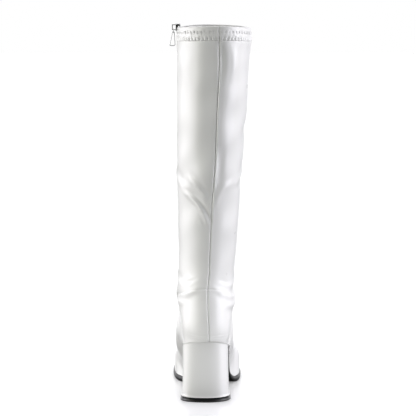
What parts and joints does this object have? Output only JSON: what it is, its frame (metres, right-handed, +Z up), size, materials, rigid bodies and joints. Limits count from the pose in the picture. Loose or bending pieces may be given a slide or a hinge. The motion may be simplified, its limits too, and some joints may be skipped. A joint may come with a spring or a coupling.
{
  "type": "go go boot",
  "caption": "Knee-high right boot with a smooth stretch shaft, squared-round toe, full inner zip and broad block heel, standing empty.",
  "frame": {"origin": "middle of the heel's floor face", "axes": "+Z up, +Y toward the toe, +X toward the outer (little toe) side"},
  "size_m": [0.1022, 0.2446, 0.4649],
  "materials": {
    "coated_white": "smooth glossy coating",
    "heel_cover": "smooth glossy cover over a rigid block",
    "lining": "matt woven",
    "black_rubber": "semi-gloss moulded",
    "zip_tape": "matt woven tape",
    "zip_teeth": "satin nylon",
    "bright_metal": "polished plating"
  },
  "bodies": {
    "boot": {"upper": "coated_white", "insole": "lining", "outsole": "black_rubber", "heel": "heel_cover", "top_piece": "black_rubber", "zip_tape_front": "zip_tape", "zip_tape_rear": "zip_tape", "zip_chain": "zip_teeth", "zip_slider": "bright_metal"},
    "link": {"zip_link": "bright_metal"},
    "pull": {"zip_pull": "bright_metal"}
  },
  "joints": [
    {"name": "link_swing", "type": "hinge", "parent": "boot", "child": "link", "pos_m": [-0.03988, 0.01986, 0.45831], "axis": [-0.0644, 0.9978, -0.0145], "range_deg": [0, 110]},
    {"name": "pull_swing", "type": "hinge", "parent": "link", "child": "pull", "pos_m": [-0.03984, 0.01979, 0.45371], "axis": [-0.0644, 0.9978, -0.0145], "range_deg": [0, 40]}
  ]
}
